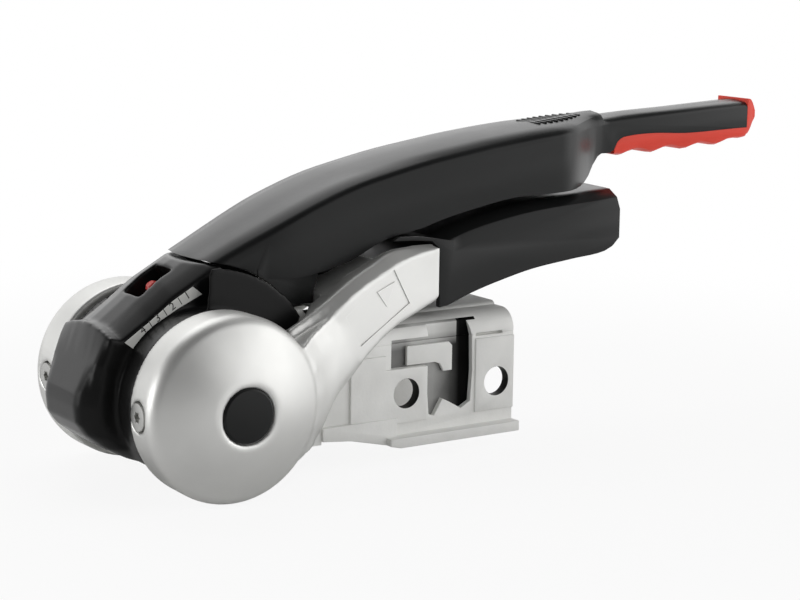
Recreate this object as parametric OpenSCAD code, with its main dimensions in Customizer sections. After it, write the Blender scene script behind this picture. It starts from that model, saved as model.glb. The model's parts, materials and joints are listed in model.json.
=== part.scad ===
// Trailer coupling head with a built-in stabiliser, in millimetres.
// The origin is the centre of the towing ball, which is also the middle of the line
// through both silver domes. +X points back to the trailer, +Y to the far side, +Z up.
// Two domed bearings, one on each cheek of the housing, carry the long stabiliser
// handle. The short lever below it opens the ball clamp.

/* [Ball cup] */
// Diameter of the towing ball
ball_d = 50; // [48:0.5:51]
// Room between the ball and the cup
ball_clear = 0.4; // [0.2:0.1:0.8]
// Wall of the cup over the ball
cup_wall = 8; // [6:0.5:9]
// How far the cup reaches below the centre of the ball
cup_depth = 27; // [24:1:30]
// Half the slot behind the ball in which the clamp swings
slot_half = 14.5; // [12:0.5:15]

/* [Cheeks and bushes] */
// How far each cheek reaches beyond the ball
cheek_out = 14.5; // [13.5:0.5:16]
// Radius of the round cheeks
cheek_r = 36; // [33:0.5:38]
// Outer radius of the bushes
bush_r = 22; // [20.5:0.5:25]
// Length of each bush
bush_len = 10.5; // [8:0.5:11]
// Radius of the hubs that turn in the bushes
hub_r = 18; // [17:0.5:19]
// Gap round a turning or sliding fit
run_fit = 0.05; // [0.03:0.01:0.08]
// Gap between parts that pass each other
part_gap = 0.8; // [0.5:0.1:1.2]

/* [Side friction pads] */
// Radius of the side pads
pad_r = 15; // [13:0.5:16]
// Thickness of the steel carrier behind a lining
carrier_t = 3; // [2:0.5:4]
// Radius of the stem behind a carrier
stem_r = 8; // [6:0.5:10]
// How far a side pad draws back from the ball
pad_travel = 2; // [1:0.5:2.5]

/* [Domes] */
// Radius of the domes at their rim
dome_r = 43; // [41:0.5:46]
// Width of the straight band of a dome
dome_band = 15; // [12:1:18]
// Height of a whole dome along its axis
dome_h = 31.5; // [29:0.5:35]
// Wall of the hollow dome
dome_wall = 5; // [4:0.5:6]
// Radius of the round plug in a dome
plug_r = 12.8; // [11:0.2:14]
// Thickness of the round plug
plug_t = 4; // [2.5:0.5:4.5]
// Radius of the screw head in the rim of a dome
rim_screw_r = 7.1; // [5:0.1:7.5]

/* [Fork arms] */
// Half the inner width between the arms
arm_in = 32.8; // [32.5:0.1:34]
// Half the outer width at the end of the arms
arm_out = 41; // [39:0.5:43]
// Where the arms end
arm_end = 121; // [116:1:124]
// Width of the bevel along the top of the arms
arm_bevel = 5.5; // [3:0.5:7]
// Where the bar between the arms starts
bridge_x = 60; // [56:1:64]
// Length of the bar between the arms
bridge_len = 30; // [24:1:34]
// Thickness of the bar between the arms
bridge_t = 9; // [7:0.5:11]

/* [Handle] */
// Half the width of the handle at its front
shell_front = 24; // [22:0.5:26]
// Half the width of the handle over the arms
shell_half = 28.5; // [27:0.5:29]
// Wall of the handle
shell_wall = 3; // [2.5:0.25:3.5]
// Crown of the handle's top
shell_crown = 3; // [1:0.5:5]
// Radius of the rounded long edges
shell_round = 3; // [1.5:0.5:4]
// Where the handle starts to narrow
neck_x = 203; // [196:1:208]
// Length over which the handle narrows
neck_len = 41; // [34:1:46]
// Radius of the front corner path about the domes' axis
sweep_r = 61; // [60.6:0.1:62]

/* [Grip] */
// Half the width of the grip
grip_half = 12; // [10:0.5:14]
// Where the grip ends
grip_end = 349; // [340:1:360]
// Depth of the finger waves under the grip
wave = 1.2; // [0:0.2:2]
// Length of one finger wave
wave_len = 22; // [18:1:26]

/* [Lower lever] */
// Half the width of the lever's cover
cover_half = 31.5; // [30:0.5:31.5]
// Wall of the cover
cover_wall = 3; // [2.5:0.25:4]
// Radius of the cover's long top edges
cover_round = 9; // [5:0.5:11]
// Where the cover ends
cover_end = 239; // [234:1:246]
// Where the lever's pivot lies behind the ball
pivot_x = 42; // [40:0.5:44]
// Height of the lever's pivot over the ball's centre
pivot_z = 29; // [28:0.5:30]
// Radius of the lever's pivot pin
pivot_r = 5; // [4:0.5:5.5]
// Thickness of the lever's steel sides
lever_t = 4; // [3:0.5:5]
// Half the outer width of the steel lever
lever_half = 21.5; // [20:0.5:22]

/* [Ball clamp] */
// Height of the clamp's pivot over the ball's centre
jaw_z = 13; // [12:0.5:14]
// Radius of the clamp's pivot pin
jaw_r = 4; // [3.5:0.25:4.5]
// Thickness of the friction lining on the clamp
lining_t = 3; // [2:0.5:4]

/* [Drawbar socket] */
// Width of the square drawbar tube
tube_w = 50; // [48:0.5:50]
// Room beside the tube
tube_clear = 0.3; // [0.1:0.1:0.5]
// Wall of the socket
socket_wall = 4.3; // [3.5:0.1:5]
// Where the socket ends
socket_end = 174.5; // [170:0.5:180]
// Radius of the cross holes for the two bolts
bolt_r = 7.25; // [6:0.25:8]
// Distance between the two bolts
bolt_pitch = 54; // [50:0.5:56]
// Distance of the rear bolt from the socket's end
bolt_edge = 10.7; // [9.5:0.1:12]
// Height of the bolts over the ball's centre
bolt_z = -10.5; // [-12:0.5:-9]
// Width of the foot along each lower edge
foot_w = 6.5; // [4:0.5:8]
// Thickness of the foot along each lower edge
foot_t = 5; // [4:0.5:6]

/* [Front bumper] */
// How far the bumper reaches in front of the ball's centre
nose_x = 57.5; // [55:0.5:59]
// Half the width of the flat front
nose_half = 17.5; // [14:0.5:20]
// Half the width of the bumper's body
dock_half = 24; // [22:0.5:26]
// Room between the bumper's side skirts and the rims of the domes
skirt_gap = 1.7; // [1.5:0.1:3.3]
// Radius of the side skirts
skirt_r = 40.5; // [38.5:0.5:42]

/* [Hidden] */
$fn = 64;
eps = 0.01;
hair = 0.3;

cheek_y = ball_d / 2 + cheek_out;
cup_r = ball_d / 2 + ball_clear;
cup_out = cup_r + cup_wall;
socket_in = tube_w / 2 + tube_clear;
socket_half = socket_in + socket_wall;
socket_top = 24.5;
tube_top = 20.9;
socket_floor = tube_top - tube_w - 1.9;
socket_low = socket_floor - foot_t;
foot_half = socket_half + foot_w;
bolt_x = socket_end - bolt_edge - bolt_pitch;
bush_in = cheek_y - bush_len;
dome_in = cheek_y + part_gap;
dome_out = dome_in + dome_h;
hub_in = bush_in + carrier_t + 1 + pad_travel + hair;
plug_in = dome_out - plug_t;
ear_half = max(cover_half - 0.7, socket_half + 1.2);
ear_end = 62;
well_half = lever_half + part_gap;
seam_z = 14;
far = 200;
lever_in = lever_half - lever_t;
insert_x = bolt_x - bolt_r - 8;
front_pad_x = 2.5 - cup_out;
pocket_x = -12.5;
pocket_z = cup_out + 16.6;
pocket_deg = 37;
arm_gap = max(arm_in, ear_half + 2);
guard_out = arm_gap - 0.2;
skirt_half = dome_in - skirt_gap;
guard_t = 1.1;
well_end = 70;

// Smooth curve through [x, z] points, read at one x
function seg(p, x, i = 0) =
    i >= len(p) - 2 || x < p[i + 1][0] ? i : seg(p, x, i + 1);
function grade(p, i) =
    let(a = max(i - 1, 0), b = min(i + 1, len(p) - 1)) (p[b][1] - p[a][1]) / (p[b][0] - p[a][0]);
function curve(p, x) =
    let(i = seg(p, x), h = p[i + 1][0] - p[i][0], t = (x - p[i][0]) / h)
    (2 * t ^ 3 - 3 * t ^ 2 + 1) * p[i][1] + (t ^ 3 - 2 * t ^ 2 + t) * h * grade(p, i)
    + (3 * t ^ 2 - 2 * t ^ 3) * p[i + 1][1] + (t ^ 3 - t ^ 2) * h * grade(p, i + 1);
// S-curve from 0 to 1
function ease(t) = let(u = min(max(t, 0), 1)) u * u * (3 - 2 * u);
// Even steps from a to b
function steps(a, b, n) = [for (i = [0:n]) a + (b - a) * i / n];
function reversed(p) = [for (i = [len(p) - 1:-1:0]) p[i]];
function mirrored(p) = [for (q = reversed(p)) [-q[0], q[1]]];

// Solid skin through rings of points that all have the same count. A channel's ring runs
// along its outside and back along its inside, so its ends are closed by a strip.
module loft(rings, channel = false) {
    n = len(rings[0]);
    last = len(rings) - 1;
    end = channel ? [for (i = [0:n / 2 - 2]) [i, i + 1, n - 2 - i, n - 1 - i]] : [[for (i = [0:n - 1]) i]];
    polyhedron(
        points = [for (ring = rings) each ring],
        faces = concat(
            end,
            [for (k = [0:last - 1], i = [0:n - 1])
                each [[k * n + i, (k + 1) * n + i, (k + 1) * n + (i + 1) % n],
                      [k * n + i, (k + 1) * n + (i + 1) % n, k * n + (i + 1) % n]]],
            [for (f = end) [for (q = reversed(f)) last * n + q]]),
        convexity = 8);
}
// Rings across X from [y, z] outlines, one outline for each x
function across_x(xs, outlines) =
    [for (k = [0:len(xs) - 1]) [for (q = outlines[k]) [xs[k], q[0], q[1]]]];

// Extrusion of an [x, z] outline from y0 to y1
module side_slab(y0, y1) {
    translate([0, y1, 0]) rotate([90, 0, 0]) linear_extrude(y1 - y0) children();
}
// Extrusion of a [y, z] outline from x0 to x1
module cross_slab(x0, x1) {
    translate([x0, 0, 0]) rotate([90, 0, 90]) linear_extrude(x1 - x0) children();
}
// Round bar across the part at [x, z]
module cross_bar(x, z, r, y0, y1) {
    translate([x, y1, z]) rotate([90, 0, 0]) cylinder(r = r, h = y1 - y0);
}
// The same thing on both sides
module both_sides() {
    children();
    mirror([0, 1, 0]) children();
}
// Turned part on the near side, from a profile of [radius, distance from the middle]
module turned_near(profile) {
    rotate([90, 0, 0]) rotate_extrude($fn = 96) polygon(profile);
}
// Box with two rounded top corners, as a [y, z] outline
module arch_2d(half, low, top, r) {
    translate([-half, low]) square([2 * half, top - r - low]);
    translate([r - half, low]) square([2 * (half - r), top - low]);
    for (s = [-1, 1]) translate([s * (half - r), top - r]) circle(r = r);
}

// Housing

ear_points = [[bush_in, 36], [pivot_x + 9, 36], [ear_end, 24], [ear_end, socket_low + 6], [bush_in - 9, socket_low + 6]];
// Lower edge of the socket's side, which climbs towards the front
sole_points = [[6, -far], [6, -28], [58, -28], [78, -30], [104, socket_low], [socket_end + 1, socket_low],
    [socket_end + 1, -far]];
// Deep recess in each side, with the wavy lower edge of the cast wall
window_x = bolt_x + bolt_r + 6;
sill_z = 1.8;
recess_floor = socket_in + 1.5;
window_points = [[bolt_x - 8, 16], [bolt_x - 8, sill_z], [window_x - 1, sill_z], [window_x, -12], [window_x + 1, -23],
    [window_x + 4, -24], [window_x + 9, -16], [window_x + 13, -18], [window_x + 20, -22],
    [window_x + 25.5, -19], [window_x + 26.5, -4], [window_x + 26, 14], [window_x + 24, 21.5],
    [window_x, 21.5], [window_x, 16]];

// Hooked tongue on the floor of the recess
tongue_low = sill_z + 0.8;
tongue_top = 12;
tongue_start = bolt_x + 1.7;

module cup_solid() {
    intersection() {
        union() {
            sphere(r = cup_out);
            translate([0, 0, -cup_depth]) cylinder(r = cup_out, h = cup_depth);
        }
        translate([-cup_out, -cup_out, -cup_depth]) cube([2 * cup_out, 2 * cup_out, 2 * cup_out + cup_depth]);
    }
    both_sides() cross_bar(0, 0, cheek_r, -cheek_y, -15);
}

module socket_shell() {
    difference() {
        union() {
            cross_slab(ear_end, socket_end) arch_2d(socket_half, socket_low, socket_top, 10);
            cross_slab(96, socket_end) arch_2d(13.5, 0, socket_top + 1.8, 3);
            both_sides() translate([98, -foot_half, socket_low])
                cube([socket_end - 98, foot_w + 1, foot_t]);
            both_sides() translate([ear_end, -socket_half - 2.5, socket_low + 1])
                cube([104 - ear_end, 4, foot_t + 8]);
            // Proud plate round the front bolt
            both_sides() side_slab(-socket_half - 1.5, -socket_half + 1)
                polygon([[78, 9], [98, 9], [98, sill_z], [window_x - 1, sill_z], [window_x - 1, -25], [78, -25]]);
            // Proud band round the rear bolt
            both_sides() translate([window_x + 28, -socket_half - 0.9, -25])
                cube([socket_end - window_x - 28, 2, 37]);
        }
        cross_slab(insert_x - 3, socket_end + 1) arch_2d(socket_in, socket_low - 1, tube_top, 5);
        cross_slab(ear_end - 1, insert_x - 6) arch_2d(socket_in, socket_low - 1, 19, 5);
        side_slab(-far, far) polygon(sole_points);
        both_sides() side_slab(-far, -recess_floor) polygon(window_points);
        // Groove where the side meets the saddle
        both_sides() translate([window_x + 28.5, -far, seam_z - 0.8]) cube([16, far - recess_floor, 1.6]);
        // Open part in front of the tube
        translate([0, -well_half, socket_low - 1]) cube([well_end, 2 * well_half, far]);
        for (x = [bolt_x, bolt_x + bolt_pitch]) cross_bar(x, bolt_z, bolt_r, -far, far);
    }
}
// Where the saddle and the wall that stops the tube lie
module saddle_space() {
    translate([0, -far, seam_z]) cube([far, 2 * far, far]);
    translate([insert_x - 7, -socket_in, -far]) cube([5, 2 * socket_in, 2 * far]);
}
module socket_sides() {
    color("gainsboro") difference() {
        socket_shell();
        saddle_space();
    }
}
module socket_saddle() {
    color("gainsboro") intersection() {
        socket_shell();
        saddle_space();
    }
}

module coupling_housing() {
    color("gainsboro")
    difference() {
        union() {
            cup_solid();
            both_sides() side_slab(-ear_half, -lever_half - part_gap) polygon(ear_points);
            both_sides() translate([0, -socket_half, -cup_depth]) cube([ear_end, socket_half - well_half + 2, 46]);
        }
        sphere(r = cup_r);
        translate([0, 0, -cup_depth - 1]) cylinder(r = cup_r, h = cup_depth + 1);
        translate([0, 0, -cup_depth - 1]) cylinder(r1 = cup_r + 5, r2 = cup_r, h = 8);
        // Slot for the clamp, and the well in front of the socket
        translate([0, -slot_half, -cup_depth - 1]) cube([60, 2 * slot_half, cup_depth + 26]);
        translate([cup_r - 3, -well_half, -cup_depth - 1]) cube([well_end - cup_r + 3, 2 * well_half, 80]);
        // Bores of the two bearings
        cross_bar(0, 0, pad_r + 0.4, -far, far);
        both_sides() cross_bar(0, 0, bush_r, -far, -bush_in);
        // Recess for the front pad
        translate([front_pad_x - hair, -9.3, -11.3]) cube([cup_r, 18.6, 22.6]);
        cross_bar(pivot_x, pivot_z, pivot_r, -far, far);
        cross_bar(pivot_x, jaw_z, jaw_r, -far, far);
    }
}

module cheek_bushes() {
    color("peru")
    both_sides() turned_near([[hub_r + run_fit, bush_in], [bush_r, bush_in], [bush_r, cheek_y],
        [hub_r + run_fit, cheek_y]]);
}

module front_pad_carrier() {
    color("dimgray") translate([front_pad_x, -9, -11]) cube([2.4, 18, 22]);
}
module front_pad_lining() {
    color("darkslategray")
    difference() {
        translate([front_pad_x + 2.4, -9, -11]) cube([9, 18, 22]);
        sphere(r = ball_d / 2);
    }
}

// Front bumper: the [x, z] outline at a distance y from the middle
function lip_x(y) = -3 + 12 * (y / 24) ^ 2;
function recess(y) = 15 * ease((abs(y) - nose_half + 2) / 16);
function dock_outline(y) =
    let(c = 5.5 * (y / 20) ^ 2, x0 = lip_x(y) + 2.5, n = nose_x - recess(y), rl = sweep_r - 0.8)
    [[13, 32], [13, min(sqrt(rl ^ 2 - 13 ^ 2), 61 - c * 0.2)], [x0, sqrt(rl ^ 2 - x0 ^ 2) - 0.3],
     [-12, 53.5 - c * 0.9], [-25, 43.6 - c * 0.85], [-38, 34 - c * 0.65], [max(-43.5, 4 - n), 34.5 - c * 0.5],
     [max(-50, 2 - n), 19], [1 - n, 6], [-n, 0], [0.8 - n, -8], [5 - n, -14],
     [14 - n, -21], [27 - n, -28], [-16, -30], [-16, -20]];

module dock_core() {
    ys = [25, 21, 18, 15, 9, 0, -9, -15, -18, -21, -25];
    intersection() {
        loft([for (y = ys) [for (q = dock_outline(y)) [q[0], y, q[1]]]]);
        translate([-far, -dock_half, -far]) cube([2 * far, 2 * dock_half, 2 * far]);
    }
}

module soft_dock() {
    color("dimgray")
    difference() {
        union() {
            dock_core();
            // Skirts that wrap the round cheeks
            side_slab(-skirt_half, skirt_half)
                polygon([for (a = [50:6:224]) [skirt_r * cos(a), skirt_r * sin(a)]]);
            // Side guards over the pivot pins
            both_sides() side_slab(-guard_out, -guard_out + guard_t) polygon(concat(
                [for (a = [88:-6:34]) (sweep_r - 1) * [cos(a), sin(a)]], [[43, 18], [33, 17.5], [24, 30], [0, 38]]));
        }
        sphere(r = cup_out + hair);
        translate([0, 0, -cup_depth - 20]) cylinder(r = cup_out + hair, h = cup_depth + 20);
        cross_bar(0, 0, cheek_r + hair, -far, far);
        // Pocket for the safety indicator
        at_indicator() {
            translate([-10, -8, -8]) cube([20, 16, 30]);
            cylinder(r = 5.5, h = 40, center = true);
        }
    }
}

label_t = 0.5;
label_points = [[-36.6, 28.4], [-25.2, 35.9], [-12.5, 45.0], [-2.4, 50.6], [2.2, 46.9], [-10.5, 41.2], [-22.8, 34.6],
    [-32.6, 25.3]];
module wear_scales() {
    color("white")
    both_sides() side_slab(-dock_half - label_t, -dock_half - eps) polygon(label_points);
}

// Safety indicator in the pocket of the bumper
module at_indicator() {
    translate([pocket_x, 0, pocket_z]) rotate([0, -pocket_deg, 0]) children();
}
module indicator_housing() {
    color("silver")
    at_indicator() translate([0, 0, -16]) difference() {
        union() {
            cylinder(r = 5.2, h = 8.5);
            translate([0, 0, 8]) cylinder(r = 6.8, h = 1.5);
        }
        translate([0, 0, 2]) cylinder(r = 3, h = 20);
        translate([0, 0, -1]) cylinder(r = 1.8, h = 20);
    }
}
module indicator_spring() {
    color("silver")
    at_indicator() for (i = [0:1]) translate([0, 0, -13.5 + 1.1 * i])
        rotate_extrude() translate([2.3, 0]) circle(r = 0.4, $fn = 16);
}
module indicator_pin() {
    color("orangered")
    at_indicator() {
        translate([0, 0, -17]) cylinder(r = 1.4, h = 14);
        translate([0, 0, -9]) cylinder(r = 3 - run_fit, h = 7);
        translate([0, 0, -2]) cylinder(r1 = 2.9, r2 = 2, h = 1);
    }
}

// Hooked tongue on the floor of the recess in each side of the socket
module socket_tongues() {
    color("silver") both_sides() side_slab(1 - socket_half, -recess_floor)
        polygon([[tongue_start, tongue_low], [tongue_start, tongue_top], [window_x + 13, tongue_top],
            [window_x + 15, tongue_top - 2], [window_x + 15, -2.4], [window_x + 10, -2.4], [window_x + 8, 1.4],
            [window_x + 5, tongue_low]]);
}

module lever_pivot_pin() {
    color("silver") {
        cross_bar(pivot_x, pivot_z, pivot_r, -ear_half - 0.6, ear_half + 0.6);
    }
}
module clamp_pivot_pin() {
    color("silver") cross_bar(pivot_x, jaw_z, jaw_r, -ear_half - 0.6, ear_half + 0.6);
}

// Fork: two domes, two arms and the bar between them

cone_deg = 22;
shoulder_r = 8.2;
dome_flat = 16;
function dome_face() =
    let(a = 90 - cone_deg, rc = dome_r - shoulder_r, r1 = rc + shoulder_r * cos(a),
        y1 = dome_in + dome_band + shoulder_r * sin(a))
    concat([for (k = steps(0, a, 8)) [rc + shoulder_r * cos(k), dome_in + dome_band + shoulder_r * sin(k)]],
        [for (t = steps(0.15, 0.95, 6)) [r1 + (dome_flat - r1) * t,
            y1 + (dome_out - y1) * t + 2.8 * t * (1 - t)]], [[dome_flat - 1.5, dome_out]]);

module dome() {
    turned_near(concat([[stem_r + run_fit, hub_in], [hub_r, hub_in], [hub_r, dome_in + dome_band - 4],
        [dome_r - dome_wall, dome_in + dome_band - 4], [dome_r - dome_wall, dome_in]],
        [[dome_r - 0.6, dome_in]], dome_face(), [[plug_r, dome_out], [plug_r, plug_in], [stem_r + run_fit, plug_in]]));
}

arm_low = [[24, -37], [36, -32.5], [46, -26], [51, -18], [56, -10], [61, -4], [67, 1], [79, 13], [95, 24.5], [110, 31], [122, 36]];
arm_crease = [[28, 5], [40, 15], [48, 23.5], [54, 31], [68, 42], [86, 51], [104, 58], [122, 61.5]];
arm_ridge = [[28, 26], [39, 31.5], [50, 37], [62, 44], [73, 50.5], [85, 56], [95, 60.5], [109, 62], [122, 62]];
arm_side = [[28, 51], [60, 47], [90, 43.5], [arm_end, max(arm_out, arm_gap + 8.2)]];
arm_root = dome_r - 7;

module arm() {
    xs = steps(arm_root, arm_end, 20);
    loft(across_x(xs, [for (x = xs)
        let(yi = dome_in + 0.6 + (arm_gap - dome_in - 0.6) * ease((x - 45) / 9), yo = curve(arm_side, x),
            zl = curve(arm_low, x), zc = curve(arm_crease, x), zt = max(curve(arm_ridge, x), zc + 0.2))
        [[-yo + 2, zl], [-yi, zl], [-yi, zt], [-yo + arm_bevel, zt], [-yo, zc], [-yo, zl + 2]]]));
}

bridge_rise = 0.46;
bridge_z = 43.5;
function bridge_top(x) = bridge_z + (x - bridge_x) * bridge_rise;
fix_x = bridge_x + bridge_len / 2;
fix_y = 11;
fix_r = 2.5;

module stabiliser_fork() {
    color("lightgray")
    difference() {
        union() {
            both_sides() {
                dome();
                arm();
            }
            side_slab(-arm_gap - 1, arm_gap + 1) polygon([
                [bridge_x, bridge_top(bridge_x) - bridge_t], [bridge_x, bridge_top(bridge_x)],
                [bridge_x + bridge_len, bridge_top(bridge_x + bridge_len)],
                [bridge_x + bridge_len, bridge_top(bridge_x + bridge_len) - bridge_t]]);
        }
        both_sides() translate([-dome_r - 1, -rim_screw_y, 0]) rotate([0, 90, 0]) cylinder(r = rim_screw_r, h = dome_wall + 3);
        for (s = [-1, 1]) translate([fix_x, s * fix_y, 20]) cylinder(r = fix_r + 0.2, h = 60);
    }
}

rim_screw_y = dome_in + dome_band / 2;

module hub_plugs() {
    color("black") both_sides() turned_near([[0, plug_in], [plug_r - 0.02, plug_in], [plug_r - 0.02, dome_out - 0.9],
        [plug_r - 1, dome_out + 0.1], [0, dome_out + 0.1]]);
}

module rim_screws() {
    color("silver") both_sides() difference() {
        translate([0.3 - dome_r, -rim_screw_y, 0]) rotate([0, 90, 0]) cylinder(r = rim_screw_r - 0.02, h = dome_wall);
        translate([-dome_r, -rim_screw_y, 0]) rotate([0, 90, 0]) cylinder(r = 3, h = 2.6, $fn = 6);
    }
}

// Handle

shell_top = [[-6, 53], [9, 60], [20, 65.5], [38, 74], [57, 82.5], [82, 91.5], [107, 97.5], [127, 101.5],
    [150, 105], [163, 107], [189, 110], [215, 112.3], [236, 114.5], [250, 116]];
shell_low = [[-6, 48], [32, 51.5], [53, 51], [77, 56], [89, 61], [95, 64], [107, 67], [119, 69], [131, 72.5],
    [150, 76.5], [175, 80.5], [198, 81], [220, 82.5], [230, 87], [236, 94], [243, 98]];
grip_top = [[230, 114], [244, 115.3], [270, 117], [294, 118], [342, 120.5], [350, 121]];
grip_line = [[246, 97], [249, 97.2], [252, 102.5], [257, 105], [276, 106], [300, 105], [337, 106], [350, 106]];
grip_low = [[246, 96], [249, 96.3], [272, 96.5], [301, 97.5], [322, 98.5], [338, 100.2], [344, 101.5],
    [347, 105], [350, 112]];

function shell_w(x) = shell_front + (shell_half - shell_front) * ease((x - 6) / 50)
    - (shell_half - grip_half) * ease((x - neck_x) / neck_len);
// Right half of a crowned top from the edge to the middle, with a rounded edge
function crown_half(w, z, r, c) =
    [[w, z - r], [w - 0.3 * r, z - 0.35 * r], [w - r, z + c * (1 - ((w - r) / w) ^ 2)],
     [w * 0.55, z + c * 0.7], [0, z + c]];
function crown_full(w, z, r, c) = concat(crown_half(w, z, r, c), [for (i = [3:-1:0])
    let(q = crown_half(w, z, r, c)[i]) [-q[0], q[1]]]);
function channel_ring(w, wall, zb, z, r, c) =
    concat([[w, zb]], crown_full(w, z, r, c), [[-w, zb], [wall - w, zb]],
        reversed(crown_full(w - wall, z - wall, max(r - wall / 2, 0.8), c)), [[w - wall, zb]]);
function solid_ring(w, zb, z, r, c) = concat([[w, zb]], crown_full(w, z, r, c), [[-w, zb]]);

bar_start = 236;
grip_start = 250;
cap_len = 7;
cap_start = grip_end - cap_len;
grip_xs = concat(steps(grip_start, grip_start + 8, 4), steps(grip_start + 12, cap_start, 20));
// Front of each side of the handle
shell_side = [[30, 56], [30, 46], [47, 38], [bridge_x - 0.6, 38], [bridge_x - 0.6, bridge_z], [bridge_x + 2, 50],
    [bridge_x + 2, 57]];

module handle_shell() {
    color("darkslategray")
    difference() {
        union() {
            intersection() {
                xs = concat(steps(-5, neck_x, 30), steps(neck_x + 4, neck_x + neck_len - 1, 8));
                loft(across_x(xs, [for (x = xs) channel_ring(shell_w(x), shell_wall, curve(shell_low, x),
                    curve(shell_top, x), shell_round, shell_crown)]), channel = true);
                union() {
                    translate([27, 0, 0]) cylinder(r = 30, h = 200, $fn = 96);
                    translate([27, -60, 0]) cube([300, 120, 200]);
                }
            }
            loft(across_x(concat([bar_start, 242, 247], grip_xs), [for (x = concat([bar_start, 242, 247], grip_xs))
                solid_ring(shell_w(x) - 0.01, max(curve(grip_line, max(x, 246)), 97), curve(grip_top, x) - 1.5, 2.2, 1.5)]));
            // Front of each side, which reaches down to the bar of the fork
            both_sides() side_slab(1.9 - shell_half, 4 - shell_half) polygon(shell_side);
            // Bosses that stand on the bar of the fork
            for (s = [-1, 1]) translate([fix_x, s * fix_y, bridge_top(fix_x) + 3])
                cylinder(r = 5, h = curve(shell_top, fix_x) - bridge_top(fix_x) - 3.5);
            for (s = [-1, 1]) intersection() {
                side_slab(s * fix_y - 5, s * fix_y + 5) polygon([
                    [fix_x - 5, bridge_top(fix_x - 5)], [fix_x + 5, bridge_top(fix_x + 5)],
                    [fix_x + 5, bridge_top(fix_x) + 6], [fix_x - 5, bridge_top(fix_x) + 6]]);
                translate([fix_x, s * fix_y, 30]) cylinder(r = 5, h = 60);
            }
        }
        cross_bar(0, 0, sweep_r, -far, far);
        for (s = [-1, 1]) translate([fix_x, s * fix_y, 20]) cylinder(r = fix_r, h = bridge_top(fix_x) - 6);
    }
}

module handle_screws() {
    color("silver") for (s = [-1, 1]) translate([fix_x, s * fix_y, 0]) {
        translate([0, 0, bridge_top(fix_x) - bridge_t - 4]) cylinder(r = 2.4, h = 20);
        translate([0, 0, bridge_top(fix_x) - bridge_t - 5.6]) cylinder(r = 4.5, h = 3);
    }
}

function grip_ring(x, zt) =
    let(zb = curve(grip_low, x) - wave * sin(360 * (x - grip_start) / wave_len) * ease((cap_start - x) / 12),
        g = grip_half * (1 - 0.12 * ease((x - cap_start) / cap_len)), r = min(4, (zt - zb) * 0.45))
    [[-g, zt], [-g, zb + r], [-g + 0.3 * r, zb + 0.3 * r], [-g + r, zb], [g - r, zb], [g - 0.3 * r, zb + 0.3 * r],
     [g, zb + r], [g, zt]];

// Height of the top of the grip's end, and how far it falls to the rear
cap_top = 121.5;
cap_drop = 7;
module soft_grip() {
    color("tomato") union() {
        loft(across_x(grip_xs, [for (x = grip_xs) grip_ring(x, curve(grip_line, x))]));
        xs = steps(cap_start, grip_end, 6);
        loft(across_x(xs, [for (x = xs) grip_ring(x, cap_top - cap_drop * ((x - cap_start) / (grip_end - cap_start)) ^ 3)]));
    }
}

// Lower lever

cover_top = [[120, 60], [128, 63], [147, 69], [169, 73.5], [192, 76.5], [223, 78.5], [242, 80]];
cover_low = [[120, 30], [132, 30.5], [139, 33], [148, 36], [163, 40], [184, 44.5], [209, 47.5], [228, 49.5], [236, 53], [242, 60]];
cover_start = 128;
lever_low = [[70, 26.5], [100, 29.5], [135, 38], [160, 45], [200, 52.5], [226, 55]];
lever_top = [[226, 68], [200, 67], [150, 60], [126, 54.5], [92, 44], [66, 33.4], [58, 33], [50, 35]];
cover_fix = [150, 205];
cover_fix_r = 2;
cover_fix_len = 11;
// Forward rim on each side of the cover
cover_rim = [[101, 64.5], [104, 66], [116, 65.5], [126, 64], [136, 62], [136, 54], [cover_start, 54], [126.5, 60],
    [123, 63], [112, 64]];
// Nose of the lever round its pivot
lever_nose = [[46, 22], [56, 23], [64, 25]];

module coupling_lever() {
    color("dimgray")
    difference() {
        union() {
            both_sides() {
                side_slab(-lever_half, -lever_in) polygon(concat(lever_nose, lever_low, lever_top));
                cross_bar(pivot_x, pivot_z, 9, -lever_half, -lever_in);
            }
            side_slab(-lever_in - 0.5, lever_in + 0.5) polygon(concat(
                [for (q = lever_top) if (q[0] > 90) q], [for (q = reversed(lever_top)) if (q[0] > 90) [q[0], q[1] - lever_t]]));
        }
        cross_bar(pivot_x, pivot_z, pivot_r + run_fit, -far, far);
        for (x = cover_fix) translate([x, 0, 20]) cylinder(r = cover_fix_r + 0.3, h = 60);
    }
}

function cover_ring(x, solid) =
    let(zt = curve(cover_top, x), zb = curve(cover_low, x))
    solid ? solid_ring(cover_half, zb, zt, cover_round, 1)
        : channel_ring(cover_half, cover_wall, zb, zt, cover_round, 1);

module lever_cover() {
    color("darkslategray")
    difference() {
        union() {
            xs = steps(cover_start, cover_end, 24);
            loft(across_x(xs, [for (x = xs) cover_ring(x, false)]), channel = true);
            ends = [cover_end - 4, cover_end];
            loft(across_x(ends, [for (x = ends) cover_ring(x, true)]));
            both_sides() side_slab(-cover_half, -cover_half + 2) polygon(cover_rim);
            for (x = cover_fix) translate([x, 0, lever_z(x + 5) + 0.1])
                cylinder(r = 5, h = curve(cover_top, x) - lever_z(x + 5) - 1);
        }
        for (x = cover_fix) translate([x, 0, 20]) cylinder(r = cover_fix_r, h = lever_z(x) - 12);
    }
}
// Top of the steel lever at x
function lever_z(x) = lookup(x, lever_top);

module cover_screws() {
    color("silver") for (x = cover_fix) translate([x, 0, 0]) {
        translate([0, 0, lever_z(x) - lever_t - 1]) cylinder(r = cover_fix_r - 0.05, h = cover_fix_len);
        translate([0, 0, lever_z(x) - lever_t - 2.8]) cylinder(r = 3.8, h = 2);
    }
}

// Clamp behind the ball

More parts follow.
